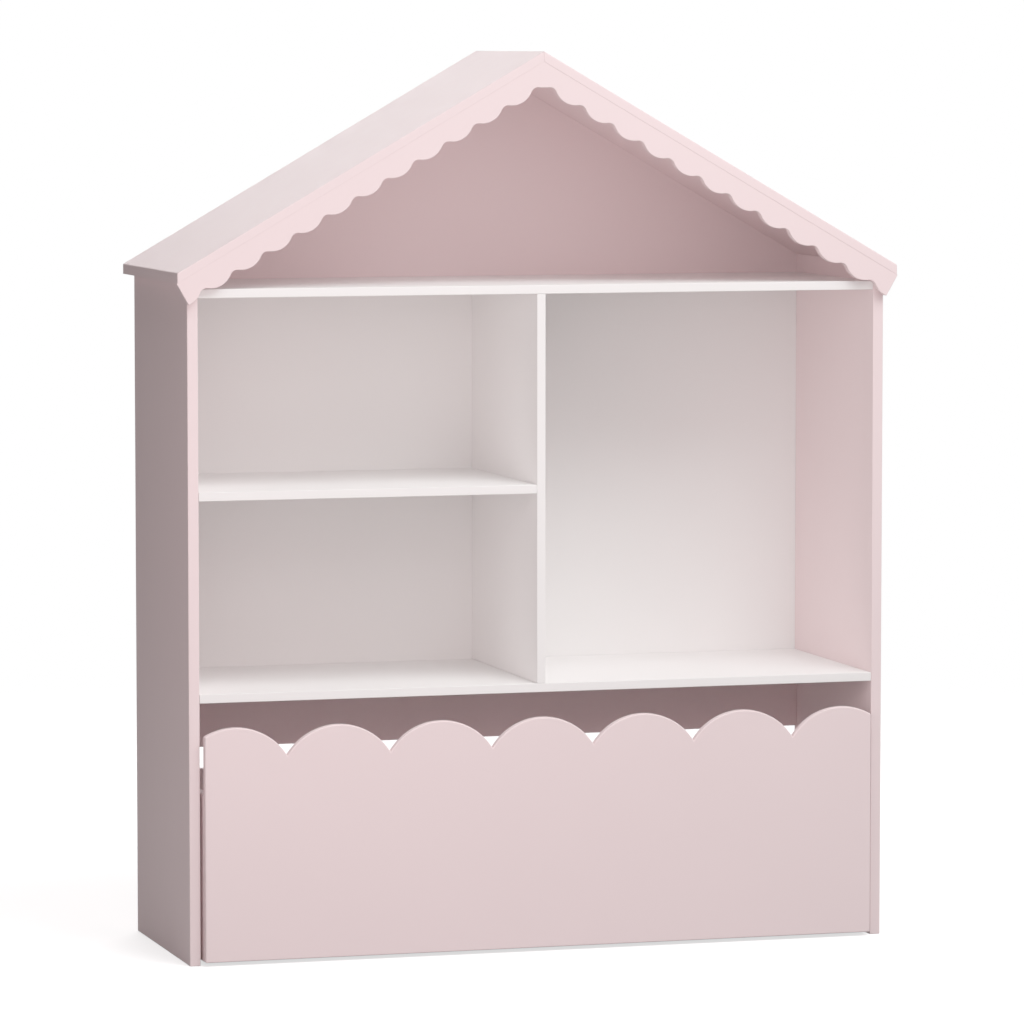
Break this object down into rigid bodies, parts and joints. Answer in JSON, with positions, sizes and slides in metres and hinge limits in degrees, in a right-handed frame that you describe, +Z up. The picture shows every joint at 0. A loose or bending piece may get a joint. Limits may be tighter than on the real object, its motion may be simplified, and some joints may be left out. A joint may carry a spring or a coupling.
{
  "type": "dollhouse bookcase",
  "caption": "House-shaped wooden dollhouse bookcase with a scalloped gable roof, open shelves and a roll-out toy box on hidden castors.",
  "frame": {"origin": "on the floor, under the middle of the whole bookcase's bounding box", "axes": "+Z up; -Y is the open front and the way the toy box rolls out; +X to the right seen from the front"},
  "size_m": [1.0334, 0.3409, 1.2435],
  "materials": {
    "pink_paint": "satin pink lacquer on MDF",
    "white_paint": "satin white lacquer on MDF",
    "beech": "raw fluted beech",
    "zinc": "zinc plated",
    "tyre": "moulded grey plastic"
  },
  "bodies": {
    "carcass": {"back_panel_gable": "pink_paint", "back_panel_lower": "white_paint", "bottom_shelf": "white_paint", "cam_bolt_bottom_left": "zinc", "cam_bolt_bottom_right": "zinc", "cam_bolt_top_left": "zinc", "cam_bolt_top_right": "zinc", "cam_bottom_left": "zinc", "cam_bottom_right": "zinc", "cam_top_left": "zinc", "cam_top_right": "zinc", "divider": "white_paint", "dowel_bottom_left_front": "beech", "dowel_bottom_left_rear": "beech", "dowel_bottom_right_front": "beech", "dowel_bottom_right_rear": "beech", "dowel_divider_foot_front": "beech", "dowel_divider_foot_rear": "beech", "dowel_divider_head_front": "beech", "dowel_divider_head_rear": "beech", "dowel_middle_left_front": "beech", "dowel_middle_left_rear": "beech", "dowel_middle_right_front": "beech", "dowel_middle_right_rear": "beech", "dowel_ridge_front": "beech", "dowel_ridge_rear": "beech", "dowel_roof_left_front": "beech", "dowel_roof_left_rear": "beech", "dowel_roof_right_front": "beech", "dowel_roof_right_rear": "beech", "dowel_top_left_front": "beech", "dowel_top_left_rear": "beech", "dowel_top_right_front": "beech", "dowel_top_right_rear": "beech", "fascia": "pink_paint", "middle_shelf": "white_paint", "rear_rail": "pink_paint", "roof_panel_left": "pink_paint", "roof_panel_right": "pink_paint", "side_panel_left": "pink_paint", "side_panel_right": "pink_paint", "top_shelf": "white_paint"},
    "toy_box": {"castor_axle_front_left": "zinc", "castor_axle_front_right": "zinc", "castor_axle_rear_left": "zinc", "castor_axle_rear_right": "zinc", "castor_fork_front_left": "zinc", "castor_fork_front_right": "zinc", "castor_fork_rear_left": "zinc", "castor_fork_rear_right": "zinc", "toy_box_back": "pink_paint", "toy_box_floor": "white_paint", "toy_box_front": "pink_paint", "toy_box_side_left": "pink_paint", "toy_box_side_right": "pink_paint"},
    "wheel_front_left": {"castor_wheel_front_left": "tyre"},
    "wheel_front_right": {"castor_wheel_front_right": "tyre"},
    "wheel_rear_left": {"castor_wheel_rear_left": "tyre"},
    "wheel_rear_right": {"castor_wheel_rear_right": "tyre"}
  },
  "joints": [
    {"name": "toy_box_roll", "type": "slide", "parent": "carcass", "child": "toy_box", "axis": [0, -1, 0], "range_m": [0, 0.35]},
    {"name": "wheel_spin_front_left", "type": "hinge", "parent": "toy_box", "child": "wheel_front_left", "pos_m": [-0.42365, -0.11785, 0.0175], "axis": [1, 0, 0], "range_deg": [0, 1150]},
    {"name": "wheel_spin_front_right", "type": "hinge", "parent": "toy_box", "child": "wheel_front_right", "pos_m": [0.42365, -0.11785, 0.0175], "axis": [1, 0, 0], "range_deg": [0, 1150]},
    {"name": "wheel_spin_rear_left", "type": "hinge", "parent": "toy_box", "child": "wheel_rear_left", "pos_m": [-0.42365, 0.07715, 0.0175], "axis": [1, 0, 0], "range_deg": [0, 1150]},
    {"name": "wheel_spin_rear_right", "type": "hinge", "parent": "toy_box", "child": "wheel_rear_right", "pos_m": [0.42365, 0.07715, 0.0175], "axis": [1, 0, 0], "range_deg": [0, 1150]}
  ],
  "couplings": [
    {"joint": "wheel_spin_front_left", "follows": "toy_box_roll", "rad_per_m": 57.143},
    {"joint": "wheel_spin_front_right", "follows": "toy_box_roll", "rad_per_m": 57.143},
    {"joint": "wheel_spin_rear_left", "follows": "toy_box_roll", "rad_per_m": 57.143},
    {"joint": "wheel_spin_rear_right", "follows": "toy_box_roll", "rad_per_m": 57.143}
  ]
}
